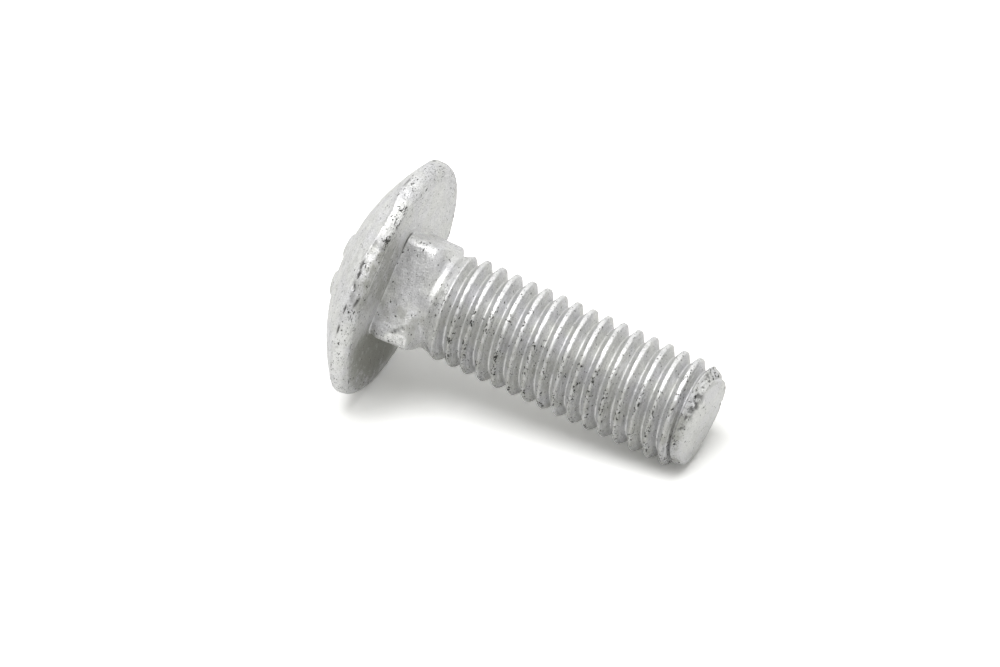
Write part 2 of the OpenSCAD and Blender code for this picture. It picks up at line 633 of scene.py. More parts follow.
@dataclass
class Neck:
    """The square neck with rounded corners, tapering into the round shoulder.

    Its flats are drawn in towards the shoulder (flow), its lower corner is swollen (swell) and has a facet
    from a blow, with a fold above it, and a shallow valley slants across its front.
    """

    width: float = 9.5
    corner_d: float = 12.6
    depth: float = 3.0
    taper: float = 0.7
    taper_blend: float = 0.7
    degrees: float = 55.5
    corner_round: float = 0.3
    fillet: float = 0.12
    shoulder_r: float = 4.45
    shoulder_end: float = 4.2
    shoulder_blend: float = 0.3
    flow: float = 0.22
    flow_from: float = 1.4
    flow_part: Span = (36.0, 10.0)
    facet_degrees: float = 287.0
    facet_d: float = 11.75
    facet_span: Span = (1.9, 3.3)
    facet_slant: float = 0.9
    facet_tilt: float = -7.0
    fold_degrees: float = 13.0
    valley: float = 0.1
    valley_w: float = 0.6
    valley_z: float = 3.2
    valley_slant: float = 0.7
    valley_part: Fade = (226.0, 250.0, 276.0, 304.0)
    swell: float = 0.2
    swell_depth: float = 0.45
    swell_rise: float = 0.8
    swell_part: Fade = (262.0, 282.0, 300.0, 328.0)
    # A base of soiled zinc for the whole neck, and painted shade on its lower front and in its valley.
    lower_front: Fade = (240.0, 256.0, 268.0, 276.0)
    grime: float = 0.15
    lower_front_shade: float = 0.62
    valley_shade: float = 0.5
    fold_shade: float = 0.85
    # Where the gap at the neck's upper corner is painted dark, as shade.
    crevice_part: Fade = (181.0, 186.0, 195.0, 212.0)

    def turn(self, angle: float) -> float:
        """Angle from the middle of the nearest flat."""
        return (angle - math.radians(self.degrees) + math.pi / 4) % (math.pi / 2) - math.pi / 4

    def square(self, angle: float) -> float:
        """Distance from the axis to the square's outline at a polar angle."""
        return smooth_min(self.width / 2 / math.cos(self.turn(angle)), self.corner_d / 2, self.corner_round)

    def radius(self, angle: float, z: float) -> float:
        """Distance from the axis to the neck's skin.

        Args:
            angle: Polar angle of the place.
            z: Its height, from the underside of the head.

        Returns:
            The distance in millimetres.
        """
        swell = between(angle, self.swell_part)
        share = (z - self.depth - self.swell_depth * swell) / self.taper
        cone = mix(self.corner_d / 2, self.shoulder_r, share)
        middle = smooth_step(*map(math.radians, self.flow_part), abs(self.turn(angle)))
        flow = self.flow * middle * smooth_step(self.flow_from, self.depth + self.taper, z)
        swell *= self.swell * smooth_step(0.0, self.swell_rise, z)
        flats = self.square(angle) + swell - flow - self.facet_cut(angle, z)
        walls = smooth_min(flats, cone, self.taper_blend)
        return smooth_max(walls, self.shoulder_r, self.shoulder_blend) - self.valley * self.hollow(angle, z)

    def hollow(self, angle: float, z: float) -> float:
        """Share of the shallow valley that runs aslant between the neck's front and the shoulder.

        Args:
            angle: Polar angle of the place.
            z: Its height.

        Returns:
            The share, from 0 to 1.
        """
        along = angle % math.tau - math.radians(self.valley_part[1])
        middle = self.valley_z + self.valley_slant * along
        return smooth_step(self.valley_w, 0.0, abs(z - middle)) * between(angle, self.valley_part)

    def facet_turn(self, angle: float, z: float) -> float:
        """Angle from the middle of the facet that a blow left on the neck's lower front corner."""
        middle = self.facet_degrees + self.facet_tilt * (z - self.facet_span[0])
        return (angle - math.radians(middle) + math.pi) % math.tau - math.pi

    def facet_cut(self, angle: float, z: float) -> float:
        """How deep the facet cuts at a place.

        Args:
            angle: Polar angle of the place.
            z: Its height.

        Returns:
            The depth in millimetres.
        """
        turn = self.facet_turn(angle, z)
        if abs(turn) > math.pi / 4:
            return 0.0
        low, high = self.facet_span[0] + self.facet_slant * turn, self.facet_span[1]
        span = smooth_step(low - 0.2, low + 0.25, z) * smooth_step(high + 0.25, high - 0.2, z)
        return span * max(0.0, self.square(angle) - self.facet_d / 2 / math.cos(turn))

    def facet_edge(self, angle: float, z: float) -> float:
        """Share of the thin dark fold above the facet.

        Args:
            angle: Polar angle of the place.
            z: Its height.

        Returns:
            The share, from 0 to 1.
        """
        fold_r = 6.0
        past_fold = (self.facet_turn(angle, z) + math.radians(self.fold_degrees)) * fold_r
        low, high = self.facet_span
        thin = smooth_step(0.17, 0.05, abs(past_fold + 0.1 * ripple(Vector((z, 0, 0)), 0.5)))
        return thin * smooth_step(low - 0.2, low + 0.3, z) * smooth_step(high, high - 0.5, z)

    def profile(self) -> Outline:
        """The neck's rings, from above its fillet to the end of the shoulder.

        Returns:
            Radius and height of each ring.
        """
        rings, first_z = 28, 0.2
        return [(self.shoulder_r, mix(first_z, self.shoulder_end, ring / rings)) for ring in range(rings + 1)]

    def worn(self, angle: float, z: float) -> float:
        """How thin and pitted the zinc is at a place of the neck.

        Args:
            angle: Polar angle of the place.
            z: Its height.

        Returns:
            The wear, from 0 to 1.
        """
        corner = smooth_step(math.radians(34), math.radians(43), abs(self.turn(angle)))
        end = smooth_step(self.depth - 0.4, self.depth, z)
        end *= smooth_step(self.depth + 0.9, self.depth + 0.3, z)
        return max(0.2, 0.45 * corner, 0.25 * end)

    def crevice(self, angle: float, z: float) -> float:
        """Share of the painted shade in the thin gap between the neck's upper corner and the head."""
        return between(angle, self.crevice_part) * smooth_step(0.13, 0.05, z)


@dataclass
class Thread:
    """The rolled coarse thread, its run-in from the shoulder and its chamfered end.

    The crests are rounder on the lower side (rough), where crests and flanks get painted shade, and zinc has
    beaded in the roots (bead).
    The sheared end leans, is rolled over on one side (roll), and its edge is torn in places.
    """

    crest_r: float = 4.9
    root_r: float = 3.98
    coat: float = 0.05
    pitch: float = 1.5
    root_w: float = 0.12
    root_round: float = 0.05
    crest_round: float = 0.05
    rough_round: float = 0.4
    rough_degrees: float = 292.0
    # Middle of the side round which the crests get a painted highlight.
    highlight_degrees: float = 213.0
    flank_degrees: float = 30.0
    start_z: float = 4.3
    start_degrees: float = 190.0
    run_in: float = 0.8
    cutter_r: float = 5.0
    chamfer_z: float = 28.3
    end_z: float = 29.9
    envelope_blend: float = 0.08
    tip_r: float = 4.1
    face_inset: float = 0.35
    tip_steps: tuple[tuple[float, float], ...] = ((0.0, 4.9), (0.24, 4.74), (0.96, 4.35), (1.6, 4.12))
    end_round: float = 0.3
    end_lean: float = 0.035
    lean_degrees: float = 160.0
    end_roll: float = 0.5
    roll_rise: Span = (1.8, 4.2)
    roll_degrees: float = 236.0
    end_nicks: tuple[Nick, ...] = (
        Nick(118.0, 29.8, 0.8, 0.8, 0.06), Nick(81.0, 29.8, 0.9, 0.7, 0.06),
        Nick(25.0, 29.8, 1.1, 0.7, 0.06), Nick(3.0, 29.8, 1.0, 0.7, 0.06),
        Nick(205.0, 29.65, 1.6, 1.1, 0.06, 0.0, 0.9), Nick(218.0, 29.70, 1.9, 1.2, 0.08, 0.0, 1.0),
        Nick(231.0, 29.60, 1.4, 1.0, 0.06, 0.0, 0.9), Nick(248.0, 29.50, 1.2, 0.9, 0.06, 0.0, 0.8),
        Nick(172.0, 29.10, 1.6, 0.8, 0.04, 0.0, 0.7),
    )
    torn_size: float = 0.33
    torn_depth: float = 0.09
    torn_rise: Span = (3.4, 3.75)
    bead: float = 0.03
    bead_size: float = 0.5
    shoulder_r: float = 4.45
    shoulder_end: float = 4.2

    def envelope(self, z: float) -> float:
        """Radius of the shank before the groove is rolled.

        Args:
            z: Height of the place.

        Returns:
            The radius in millimetres.
        """
        rise = (z - self.start_z) / (self.run_in * self.pitch)
        start = mix(self.shoulder_r, self.crest_r, min(1.0, max(0.0, rise)))
        past = z - self.chamfer_z
        for (low, wide), (high, narrow) in zip(self.tip_steps, self.tip_steps[1:]):
            if past <= high or high == self.tip_steps[-1][0]:
                chamfer = mix(wide, narrow, (past - low) / (high - low))
                break
        return smooth_min(start, chamfer, self.envelope_blend)

    def offset(self, angle: float, z: float) -> tuple[float, float]:
        """Where a place lies against the nearest turn of the groove.

        Args:
            angle: Polar angle of the place.
            z: Its height.

        Returns:
            The height above the middle of the nearest groove, and that groove's turns since its start.
        """
        lead = ((angle - math.radians(self.start_degrees)) / math.tau) % 1.0
        turns = lead + round((z - self.start_z) / self.pitch - lead)
        if turns < 0:
            turns += 1
        return z - self.start_z - turns * self.pitch, turns

    def radius(self, angle: float, z: float) -> float:
        """Distance from the axis to the thread's skin.

        Args:
            angle: Polar angle of the place.
            z: Its height.

        Returns:
            The distance in millimetres.
        """
        away, turns = self.offset(angle, z)
        depth = min(1.0, turns / self.run_in)
        place = toward(angle) * self.root_r + Vector((0.0, 0.0, z))
        floor = mix(self.cutter_r, self.root_r, depth) + self.bead * ripple(place, self.bead_size, shift=41.0)
        wall = (abs(away) - self.root_w / 2) / math.tan(math.radians(self.flank_degrees))
        blend = mix(self.crest_round, self.rough_round, self.rough(angle))
        rolled = smooth_min(self.envelope(z), floor + smooth_max(wall, 0.0, self.root_round), blend)
        coated = smooth_step(0.98, 0.7, math.cos(angle))
        coated *= smooth_step(self.shoulder_end, self.shoulder_end + 0.6, z)
        return rolled + self.coat * coated

    def rough(self, angle: float) -> float:
        """Share of the lower side, rounder, lumpier and painted in shade, at a polar angle."""
        return facing(angle, self.rough_degrees, -0.1, 0.75)

    def lowest(self, angle: float) -> float:
        """Share of the middle of the lower side at a polar angle."""
        return facing(angle, self.rough_degrees, 0.3, 0.85)

    def started(self, z: float, length: float) -> float:
        """Share of the thread's own finish, which sets in over a length from the thread's start."""
        return smooth_step(self.start_z, self.start_z + length, z)

    def high(self, radius: float, z: float) -> float:
        """How high a place lies between the roots and the crests.

        Args:
            radius: Distance of the place from the axis.
            z: Its height along the bolt.

        Returns:
            The share of the way, from 0 at the roots to 1 at the crests.
        """
        groove = max(0.1, min(self.crest_r, self.envelope(z)) - self.root_r)
        return (radius - self.coat - self.root_r) / groove

    def crest(self, angle: float, radius: float, z: float) -> float:
        """Share of burnished zinc and painted highlight: the crests, painted brighter round the side where
        the lamp's highlight falls and less on the lower side, and a painted highlight line in the roots, most
        on the lower side.

        Args:
            angle: Polar angle of the place.
            radius: Its distance from the axis.
            z: Its height.

        Returns:
            The share, from 0 to 1.
        """
        lower_front = facing(angle, self.rough_degrees, -0.35, 0.5)
        high = self.high(radius, z)
        crest = smooth_step(0.88, 0.96, high) * mix(1.0, 0.35, lower_front)
        # Painted highlight: brighter crests round the side where the lamp's highlight falls.
        crest *= mix(0.5, 1.0, facing(angle, self.highlight_degrees, 0.5, 0.95))
        # Painted highlight: a thin line in the roots, most on the lower side.
        root = smooth_step(0.08, 0.02, high) * mix(0.1, 0.6, self.lowest(angle))
        return max(crest, root) * self.started(z, length=1.2)

    def worn(self, angle: float, radius: float, z: float) -> float:
        """How thin and pitted the zinc is: most on the chamfer, the last crests and the lower side.

        Args:
            angle: Polar angle of the place.
            radius: Its distance from the axis.
            z: Its height.

        Returns:
            The wear, from 0 to about 1.
        """
        high = self.high(radius, z)
        rough = self.rough(angle) * smooth_step(0.08, 0.3, high)
        edge = smooth_step(0.6, 0.9, high)
        far = smooth_step(self.chamfer_z - 3.5, self.chamfer_z, z)
        chamfer = 1.3 * smooth_step(self.chamfer_z - 0.2, self.chamfer_z + 0.2, z)
        chamfer *= smooth_step(0.1, 0.4, high)
        near = mix(0.4, 1.0, self.started(z, length=2.6))
        crest = near * edge * max(mix(0.35, 1.15, rough), 0.9 * far)
        return max(near * mix(0.08, 0.4, rough), crest, chamfer)

    def grime(self, angle: float, radius: float, z: float) -> float:
        """How much darker colour a place gets: painted shade on the crests and flanks of the lower side and
        in the roots of the upper side, and a darker chamfer.

        Args:
            angle: Polar angle of the place.
            radius: Its distance from the axis.
            z: Its height.

        Returns:
            The darkening, from 0 to 1.
        """
        high = self.high(radius, z)
        # Painted shade: the crests and flanks of the lower side, and the roots of the upper side.
        crest = smooth_step(0.7, 0.9, high) * facing(angle, self.rough_degrees, -0.1, 0.6)
        flank = smooth_step(0.05, 0.2, high) * self.rough(angle)
        root = smooth_step(0.14, 0.04, high) * (1.0 - self.lowest(angle))
        chamfer = 0.4 * smooth_step(self.chamfer_z - 0.1, self.chamfer_z + 0.3, z)
        return max(0.7 * crest, 0.5 * flank, 0.52 * root, chamfer) * self.started(z, length=1.5)

    def nick(self, angle: float, radius: float, z: float) -> float:
        """How dark a place on the end's edge is, where the shear tore it.

        Args:
            angle: Polar angle of the place.
            radius: Its distance from the axis.
            z: Its height.

        Returns:
            The darkness, from 0 to 1.
        """
        if z < self.chamfer_z:
            return 0.0
        torn = max(nick.share(angle, self.tip_r, z) * nick.shade for nick in self.end_nicks)
        place = toward(angle) * radius + Vector((0.0, 0.0, z))
        broken = smooth_step(-0.15, 0.10, ripple(place, self.torn_size, shift=51.0))
        return torn * broken * smooth_step(*self.torn_rise, radius)

    def end_shift(self, angle: float, radius: float, z: float) -> float:
        """How far the leaning end, rolled over at the front, moves a place along the axis.

        Args:
            angle: Polar angle of the place.
            radius: Its distance from the axis.
            z: Its height.

        Returns:
            The way towards the tip, in millimetres.
        """
        lean = self.end_lean * radius * math.cos(angle - math.radians(self.lean_degrees))
        roll = self.end_roll * facing(angle, self.roll_degrees, -0.2, 0.9)
        roll *= smooth_step(*self.roll_rise, radius)
        return (lean - roll) * smooth_step(self.chamfer_z - 0.2, self.end_z - 0.2, z)

    def profile(self) -> Outline:
        """One pitch of the thread's outline, from the middle of a root to the middle of the next.

        Returns:
            Radius and height of its points.
        """
        half = [0.0, 0.03, 0.06, 0.11, 0.19, 0.28, 0.345, 0.38, 0.405, 0.43, 0.463]
        shares = half + [0.5] + [1 - share for share in reversed(half)]
        low = self.start_z - 2 * self.pitch
        return [(self.crest_r, low + share * self.pitch) for share in shares]

    def build(self, bm: bmesh.types.BMesh) -> None:
        """Sweeps the outline along the helix and gives each vertex its true radius.

        Args:
            bm: The mesh that gets the thread.
        """
        turns = math.ceil((self.end_z - self.start_z) / self.pitch) + 3
        geom = chain(bm, self.profile(), self.start_degrees)
        bmesh.ops.spin(
            bm, geom=geom, cent=(0, 0, 0), axis=(0, 0, 1), dvec=(0, 0, self.pitch / SECTORS),
            angle=math.tau, steps=SECTORS, use_merge=False,
        )
        first_turn = bm.verts[:] + bm.edges[:] + bm.faces[:]
        for turn in range(1, turns):
            copy = bmesh.ops.duplicate(bm, geom=first_turn)["geom"]
            verts = [item for item in copy if isinstance(item, bmesh.types.BMVert)]
            bmesh.ops.translate(bm, verts=verts, vec=(0, 0, turn * self.pitch))
        last_z = self.end_z - self.end_round
        for vert in bm.verts:
            angle, _, z = polar(vert)
            angle = round(angle / SECTOR) * SECTOR
            z = min(last_z, max(self.shoulder_end, z))
            set_polar(vert, angle, self.radius(angle, z), z)
        bmesh.ops.remove_doubles(bm, verts=bm.verts, dist=WELD)
        self.close_end(bm, last_z)

    def close_end(self, bm: bmesh.types.BMesh, last_z: float) -> None:
        """Rounds the edge of the end and closes its face with shrinking rings.

        Args:
            bm: The mesh that holds the thread.
            last_z: Height of the thread's open last ring.
        """
        ring = [edge for edge in bm.edges
                if edge.is_boundary and min(vert.co.z for vert in edge.verts) > last_z - WELD]
        steps = [(self.end_round * (1 - math.cos(turn)), last_z + self.end_round * math.sin(turn))
                 for turn in (math.pi / 8, math.pi / 4, math.pi * 3 / 8, math.pi / 2)]
        insets = [0.3, 0.5, 0.8, 1.2, 1.6, 2.0, 2.4, 2.8, 3.2, 3.6]
        steps += [(inset, self.end_z) for inset in insets]
        outline = {}
        for inset, z in steps:
            made = bmesh.ops.extrude_edge_only(bm, edges=ring)["geom"]
            ring = [item for item in made if isinstance(item, bmesh.types.BMEdge) and item.is_boundary]
            for vert in {vert for edge in ring for vert in edge.verts}:
                angle, radius, _ = polar(vert)
                rim = outline.setdefault(round(angle / SECTOR) % SECTORS, radius)
                even = mix(rim, self.tip_r, smooth_step(0.3, 1.2, inset))
                set_polar(vert, angle, max(0.0, even - inset), z)
        centre = list({vert for edge in ring for vert in edge.verts})
        bmesh.ops.pointmerge(bm, verts=centre, merge_co=(0, 0, self.end_z))


Source = bpy.types.NodeSocket | float | tuple[float, ...]
"""What an input can get: the output of another node, or a plain value."""
CLOUD_SPAN: Span = (0.38, 0.62)
"""Levels of a cloud of noise between which its patches turn from one to the other."""


@dataclass(frozen=True)
class Board:
    """A node tree on which shader nodes are placed and joined."""

    tree: bpy.types.NodeTree

    @classmethod
    def group(cls, name: str, takes: dict[str, str], gives: dict[str, str]) -> "Board":
        """Starts a node group with named inputs and outputs.

        Args:
            name: The group's name.
            takes: Kind of each input socket, by its name.
            gives: Kind of each output socket, by its name.

        Returns:
            The board of the new group.
        """
        tree = bpy.data.node_groups.new(name, "ShaderNodeTree")
        for sockets, side in ((takes, "INPUT"), (gives, "OUTPUT")):
            for label, kind in sockets.items():
                tree.interface.new_socket(label, in_out=side, socket_type=f"NodeSocket{kind}")
        tree.nodes.new("NodeGroupInput")
        tree.nodes.new("NodeGroupOutput")
        return cls(tree)

    def taken(self, name: str) -> bpy.types.NodeSocket:
        """The named input of the group, as a source inside it."""
        return self.tree.nodes["Group Input"].outputs[name]

    def give(self, name: str, source: Source) -> None:
        """Joins a source to the named output of the group."""
        self.join(source, self.tree.nodes["Group Output"].inputs[name])

    def join(self, source: Source, socket: bpy.types.NodeSocket) -> None:
        """Links a socket to a source, or sets the socket where the source is a plain value.

        Args:
            source: What the socket gets.
            socket: The input that gets it.
        """
        if isinstance(source, bpy.types.NodeSocket):
            self.tree.links.new(source, socket)
        else:
            socket.default_value = source

    def add(self, kind: str, sockets: dict[str, Source]) -> bpy.types.Node:
        """Places a shader node and joins its named inputs.

        Args:
            kind: The node's type, without what all types begin with.
            sockets: What each named input gets.

        Returns:
            The node.
        """
        node = self.tree.nodes.new(f"ShaderNode{kind}")
        for name, source in sockets.items():
            self.join(source, node.inputs[name])
        return node

    def use(self, group: bpy.types.NodeTree, sockets: dict[str, Source]) -> bpy.types.Node:
        """Places a node group and joins its named inputs.

        Args:
            group: The group's tree.
            sockets: What each named input gets.

        Returns:
            The group's node.
        """
        node = self.tree.nodes.new("ShaderNodeGroup")
        node.node_tree = group
        for name, source in sockets.items():
            self.join(source, node.inputs[name])
        return node

    def math(self, operation: str, *values: Source) -> bpy.types.NodeSocket:
        """Places a math node.

        Args:
            operation: What it does.
            values: What its inputs get, in their order.

        Returns:
            The result.
        """
        node = self.tree.nodes.new("ShaderNodeMath")
        node.operation = operation
        for socket, value in zip(node.inputs, values):
            self.join(value, socket)
        return node.outputs[0]

    def times(self, first: Source, *others: Source) -> bpy.types.NodeSocket:
        """The product of two or more values.

        Args:
            first: The first value.
            others: The values that it is multiplied by.

        Returns:
            The product.
        """
        for other in others:
            first = self.math("MULTIPLY", first, other)
        return first

    def ramp(
        self, value: Source, low: float, high: float, start: Source = 0.0, end: Source = 1.0
    ) -> bpy.types.NodeSocket:
        """A smooth rise from start to end while the value goes from low to high.

        Args:
            value: What is placed on the rise.
            low: Value at which the rise begins.
            high: Value at which it ends.
            start: Result up to the low value.
            end: Result from the high value.

        Returns:
            The result.
        """
        node = self.add("MapRange", {
            "Value": value, "From Min": low, "From Max": high, "To Min": start, "To Max": end,
        })
        node.interpolation_type = "SMOOTHSTEP"
        return node.outputs["Result"]

    def tint(
        self, share: Source, first: Source, second: Source, way: str = "MIX"
    ) -> bpy.types.NodeSocket:
        """The blend of two colours.

        Args:
            share: How much of the second colour there is, from 0 to 1.
            first: The first colour.
            second: The second colour.
            way: The way of blending.

        Returns:
            The blended colour.
        """
        node = self.tree.nodes.new("ShaderNodeMix")
        node.data_type, node.blend_type = "RGBA", way
        for socket, source in zip((node.inputs[0], node.inputs[6], node.inputs[7]), (share, first, second)):
            self.join(source, socket)
        return node.outputs[2]

    def grey(self, level: Source) -> bpy.types.NodeSocket:
        """The grey of the given level."""
        return self.add("CombineColor", {"Red": level, "Green": level, "Blue": level}).outputs[0]

    def cloud(
        self, place: Source, scale: Source, detail: float, roughness: float = 0.5,
        across: Source | None = None,
    ) -> bpy.types.NodeSocket:
        """Soft noise from about 0.25 to 0.75.

        Args:
            place: Where the noise is read.
            scale: Marks per metre.
            detail: Number of finer layers.
            roughness: Weight of each finer layer against the one before.
            across: A further length in metres, along which the marks are to be narrower.

        Returns:
            The noise.
        """
        node = self.add("TexNoise", {
            "Vector": place, "Scale": scale, "Detail": detail, "Roughness": roughness,
        })
        if across is not None:
            node.noise_dimensions = "4D"
            self.join(across, node.inputs["W"])
        return node.outputs[0]

    def shifted(self, place: Source, by: float) -> bpy.types.NodeSocket:
        """The place moved by a fixed length, so that another pattern starts elsewhere."""
        return self.add("Mapping", {"Vector": place, "Location": (by, -by, by * 0.7)}).outputs[0]


@dataclass(frozen=True)
class Effects:
    """The node groups that the three zinc finishes share."""

    mottle: bpy.types.NodeTree
    grain: bpy.types.NodeTree
    streaks: bpy.types.NodeTree
    pits: bpy.types.NodeTree

    @classmethod
    def build(cls) -> "Effects":
        """Makes the four groups."""
        return cls(cls.mottle_group(), cls.grain_group(), cls.streaks_group(), cls.pits_group())

    @staticmethod
    def mottle_group() -> bpy.types.NodeTree:
        """Soft patches of warmer, cooler, lighter and darker zinc.

        Returns:
            The group's tree.
        """
        board = Board.group(
            "zinc_mottle",
            {"Place": "Vector", "Patches per metre": "Float", "Warm": "Color", "Cool": "Color",
             "Spread": "Float"},
            {"Colour": "Color", "Patches": "Float", "Speckle": "Float"},
        )
        finer, finest, speckle_weight = 2.3, 19.0, 2.6
        place, patches = board.taken("Place"), board.taken("Patches per metre")
        hue = board.ramp(board.cloud(place, patches, 2.0), *CLOUD_SPAN)
        tone = board.cloud(board.shifted(place, 0.013), board.times(patches, finer), 3.0, 0.6)
        speckle = board.cloud(place, board.times(patches, finest), 2.0, 0.6)
        fine, broad = board.math("SUBTRACT", speckle, 0.5), board.math("SUBTRACT", tone, 0.5)
        both = board.math("MULTIPLY_ADD", fine, speckle_weight, broad)
        grey = board.grey(board.math("MULTIPLY_ADD", both, board.taken("Spread"), 1.0))
        colour = board.tint(hue, board.taken("Warm"), board.taken("Cool"))
        board.give("Colour", board.tint(1.0, colour, grey, "MULTIPLY"))
        board.give("Patches", tone)
        board.give("Speckle", speckle)
        return board.tree

    @staticmethod
    def grain_group() -> bpy.types.NodeTree:
        """The fine frost of the zinc, on top of small soft lumps.

        Returns:
            The group's tree.
        """
        board = Board.group(
            "zinc_grain", {"Place": "Vector", "Grains per metre": "Float"}, {"Height": "Float"}
        )
        place, grains = board.taken("Place"), board.taken("Grains per metre")
        coarser, soft_weight = 0.24, 1.6
        frost = board.cloud(place, grains, 3.0, 0.6)
        soft = board.cloud(board.shifted(place, 0.021), board.times(grains, coarser), 2.0)
        board.give("Height", board.math("MULTIPLY_ADD", soft, soft_weight, frost))
        return board.tree

    @staticmethod
    def streaks_group() -> bpy.types.NodeTree:
        """Fine streaks along the lay of the surface, as rolling, forging and dripping zinc leave them.

        Returns:
            The group's tree.
        """
        board = Board.group(
            "zinc_streaks",
            {"Place": "Vector", "Lay": "Float", "Streaks per metre": "Float"},
            {"Streaks": "Float"},
        )
        stretch = 7.0
        coarse = board.math("DIVIDE", board.taken("Streaks per metre"), stretch)
        across = board.times(board.taken("Lay"), MM * stretch)
        board.give("Streaks", board.cloud(board.taken("Place"), coarse, 3.0, 0.6, across))
        return board.tree

    @staticmethod
    def pits_group() -> bpy.types.NodeTree:
        """Small irregular dark pits in clusters, thick where the zinc is worn.

        Returns:
            The group's tree.
        """
        board = Board.group(
            "zinc_pits",
            {"Place": "Vector", "Lay": "Float", "Pits per metre": "Float", "Worn": "Float", "Share": "Float"},
            {"Pits": "Float"},
        )
        stretch, coarser, fewest, most = 1.3, 0.22, 0.25, 1.0
        place, fine = board.taken("Place"), board.taken("Pits per metre")
        cluster = board.cloud(place, board.times(fine, coarser), 2.0)
        cluster = board.ramp(cluster, *CLOUD_SPAN, fewest, most)
        chance = board.times(board.taken("Worn"), cluster, board.taken("Share"))
        across = board.times(board.taken("Lay"), MM * stretch)
        speck = board.cloud(place, fine, 2.0, 0.6, across)
        over = board.math("SUBTRACT", speck, board.math("MULTIPLY_ADD", chance, -0.12, 0.66))
        board.give("Pits", board.ramp(over, -0.008, 0.030))
        return board.tree


@dataclass(frozen=True)
class ZincFinish:
    """One finish of the dipped steel: its greys, its gloss, its grain and its pits, a darker colour for
    soiled zinc and painted shade, and a brighter one for burnished zinc and painted highlight.
    """

    name: str
    warm: Colour = (0.655, 0.657, 0.643, 1.0)
    cool: Colour = (0.65, 0.65, 0.657, 1.0)
    # Colour of burnished zinc and of the painted highlights.
    highlight_and_burnish: Colour = (0.80, 0.80, 0.795, 1.0)
    dark: Colour = (0.09, 0.09, 0.085, 1.0)
    # Colour of soiled zinc and of the painted shade.
    dirt_and_shade_colour: Colour = (0.27, 0.27, 0.235, 1.0)
    dirt_and_shade_cover: float = 0.85
    dirt_and_shade_span: Span = (0.615, 0.715)
    dirt_and_shade_matt: float = 0.12
    nick_and_shade_cover: float = 0.85
    spread: float = 0.34
    patches: float = 430.0
    metallic: float = 0.92
    matt: float = 0.46
    matt_swing: float = 0.22
    burnished: float = 0.24
    stretches: float = 1500.0
    stretch_span: Span = (0.40, 0.54)
    grains: float = 6500.0
    grain_depth: float = 0.022
    worn_depth: float = 0.07
    streaks: float = 6000.0
    streak_depth: float = 0.02
    streak_swing: float = 0.6
    pits: float = 4200.0
    pit_share: float = 0.9
    pit_depth: float = 0.03
    pit_matt: float = 0.8

    def build(self, effects: Effects) -> bpy.types.Material:
        """Makes the material.

        Args:
            effects: The node groups that the finishes share.

        Returns:
            The material.
        """
        material = bpy.data.materials.new(self.name)
        material.use_nodes = True
        board = Board(material.node_tree)
        shader = material.node_tree.nodes["Principled BSDF"]
        place = board.add("TexCoord", {}).outputs["Object"]
        # The masks, in order: burnished zinc with painted highlight, wear, nicks with the painted shade of
        # the neck's gap, soiled zinc with painted shade, and lay.
        crest, worn, nick, grime, lay = (self.mask(board, mask) for mask in Mask)
        mottle = board.use(effects.mottle, {
            "Place": place, "Patches per metre": self.patches, "Warm": self.warm, "Cool": self.cool,
            "Spread": self.spread,
        })
        patches, speckle = mottle.outputs["Patches"], mottle.outputs["Speckle"]
        grain = board.use(effects.grain, {"Place": place, "Grains per metre": self.grains})
        streaks = board.use(effects.streaks, {
            "Place": place, "Lay": lay, "Streaks per metre": self.streaks,
        }).outputs["Streaks"]
        pits = board.use(effects.pits, {
            "Place": place, "Lay": lay, "Pits per metre": self.pits, "Worn": worn, "Share": self.pit_share,
        }).outputs["Pits"]
        # The mask of burnished zinc also carries painted highlights.
        lengths = board.cloud(board.shifted(place, 0.034), self.stretches, 3.0, 0.6)
        burnish_and_highlight = board.times(crest, board.ramp(lengths, *self.stretch_span))
        lines = board.math("MULTIPLY_ADD", streaks, self.streak_swing, 1.0 - self.streak_swing / 2)
        lined = board.tint(1.0, mottle.outputs["Colour"], board.grey(lines), "MULTIPLY")
        uneven = board.times(streaks, 0.25)
        for source, weight in ((patches, 0.4), (speckle, 0.35), (grime, 0.25)):
            uneven = board.math("MULTIPLY_ADD", source, weight, uneven)
        # Soiled zinc and painted shade, where the darker mask says.
        cover = board.times(grime, board.ramp(uneven, *self.dirt_and_shade_span), self.dirt_and_shade_cover)
        colour = board.tint(burnish_and_highlight, board.tint(cover, lined, self.dirt_and_shade_colour), self.highlight_and_burnish)
        # The nick mask also carries the painted shade in the gap at the neck's corner.
        dark = board.math("MAXIMUM", pits, board.times(nick, self.nick_and_shade_cover))
        board.join(board.tint(dark, colour, self.dark), shader.inputs["Base Color"])
        matt = board.math("MULTIPLY_ADD", patches, self.matt_swing, self.matt - self.matt_swing / 2)
        matt = board.math("MULTIPLY_ADD", grime, self.dirt_and_shade_matt, matt)
        gloss = board.ramp(burnish_and_highlight, 0.0, 1.0, matt, self.burnished)
        rough = board.math("MAXIMUM", gloss, board.times(pits, self.pit_matt))
        board.join(rough, shader.inputs["Roughness"])
        depth = board.math("MULTIPLY_ADD", worn, self.worn_depth, self.grain_depth)
        height = board.times(grain.outputs["Height"], depth)
        height = board.math("MULTIPLY_ADD", streaks, self.streak_depth, height)
        height = board.math("SUBTRACT", height, board.times(pits, self.pit_depth))
        bump = board.add("Bump", {"Strength": 1.0, "Distance": MM, "Height": height})
        board.join(bump.outputs["Normal"], shader.inputs["Normal"])
        shader.inputs["Metallic"].default_value = self.metallic
        return material

    @staticmethod
    def mask(board: Board, mask: Mask) -> bpy.types.NodeSocket:
        """Places a node that reads a mask of the skin.

        Args:
            board: The material's board.
            mask: Which mask.

        Returns:
            The mask as a source.
        """
        node = board.add("Attribute", {})
        node.attribute_name = mask.value
        return node.outputs["Fac"]


